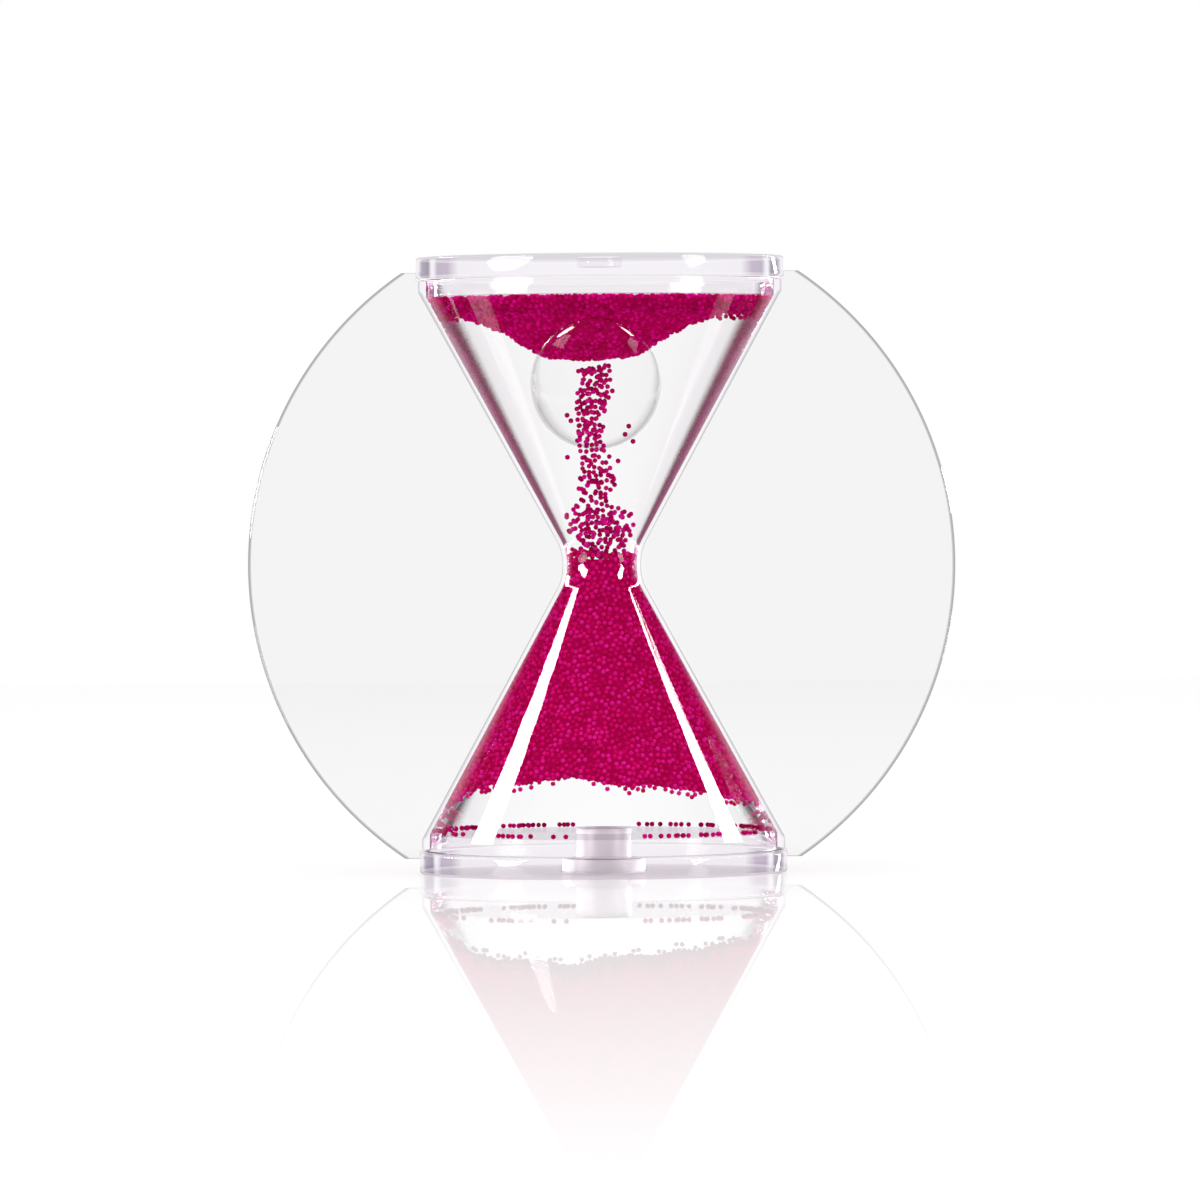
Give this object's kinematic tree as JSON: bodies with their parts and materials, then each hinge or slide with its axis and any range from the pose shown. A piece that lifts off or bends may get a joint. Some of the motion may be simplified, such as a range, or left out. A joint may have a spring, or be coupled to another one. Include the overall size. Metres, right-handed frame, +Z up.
{
  "type": "liquid motion timer",
  "caption": "Upright timer: a clear double cone full of liquid in which light magenta beads rise through the neck, with clear half-disc wings.",
  "frame": {"origin": "middle of the underside of the lower lid", "axes": "+Z up along the axis of the double cone, +X along the wings to the right, -Y to the front"},
  "size_m": [0.1, 0.052, 0.087],
  "materials": {
    "clear_body": "clear polished moulding",
    "clear_lid": "clear polished lid",
    "clear_sheet": "clear sheet with polished edges",
    "clear_bond": "cured clear adhesive",
    "frosted_plug": "translucent soft plug",
    "clear_liquid": "clear liquid",
    "magenta_beads": "small round coloured beads"
  },
  "bodies": {
    "timer": {"clear_body": "clear_body", "top_lid": "clear_lid", "bottom_lid": "clear_lid", "top_bond_ring": "clear_bond", "bottom_bond_ring": "clear_bond", "filler_plug": "frosted_plug", "left_wing": "clear_sheet", "right_wing": "clear_sheet", "upper_bead_pile": "magenta_beads", "lower_bead_mass": "magenta_beads", "upper_liquid": "clear_liquid", "lower_liquid": "clear_liquid", "bead_stream": "magenta_beads", "stray_beads": "magenta_beads"},
    "rising_bead_01": {"rising_bead_01": "magenta_beads"},
    "rising_bead_02": {"rising_bead_02": "magenta_beads"},
    "rising_bead_03": {"rising_bead_03": "magenta_beads"},
    "rising_bead_04": {"rising_bead_04": "magenta_beads"},
    "rising_bead_05": {"rising_bead_05": "magenta_beads"},
    "rising_bead_06": {"rising_bead_06": "magenta_beads"},
    "rising_bead_07": {"rising_bead_07": "magenta_beads"},
    "rising_bead_08": {"rising_bead_08": "magenta_beads"},
    "rising_bead_09": {"rising_bead_09": "magenta_beads"},
    "rising_bead_10": {"rising_bead_10": "magenta_beads"}
  },
  "joints": [
    {"name": "rise_01", "type": "slide", "parent": "timer", "child": "rising_bead_01", "axis": [0, 0, 1], "range_m": [0, 0.00342]},
    {"name": "rise_02", "type": "slide", "parent": "timer", "child": "rising_bead_02", "axis": [0, 0, 1], "range_m": [0, 0.0052]},
    {"name": "rise_03", "type": "slide", "parent": "timer", "child": "rising_bead_03", "axis": [0, 0, 1], "range_m": [0, 0.00678]},
    {"name": "rise_04", "type": "slide", "parent": "timer", "child": "rising_bead_04", "axis": [0, 0, 1], "range_m": [0, 0.00757]},
    {"name": "rise_05", "type": "slide", "parent": "timer", "child": "rising_bead_05", "axis": [0, 0, 1], "range_m": [0, 0.00954]},
    {"name": "rise_06", "type": "slide", "parent": "timer", "child": "rising_bead_06", "axis": [0, 0, 1], "range_m": [0, 0.01113]},
    {"name": "rise_07", "type": "slide", "parent": "timer", "child": "rising_bead_07", "axis": [0, 0, 1], "range_m": [0, 0.01271]},
    {"name": "rise_08", "type": "slide", "parent": "timer", "child": "rising_bead_08", "axis": [0, 0, 1], "range_m": [0, 0.01053]},
    {"name": "rise_09", "type": "slide", "parent": "timer", "child": "rising_bead_09", "axis": [0, 0, 1], "range_m": [0, 0.0133]},
    {"name": "rise_10", "type": "slide", "parent": "timer", "child": "rising_bead_10", "axis": [0, 0, 1], "range_m": [0, 0.00836]}
  ]
}
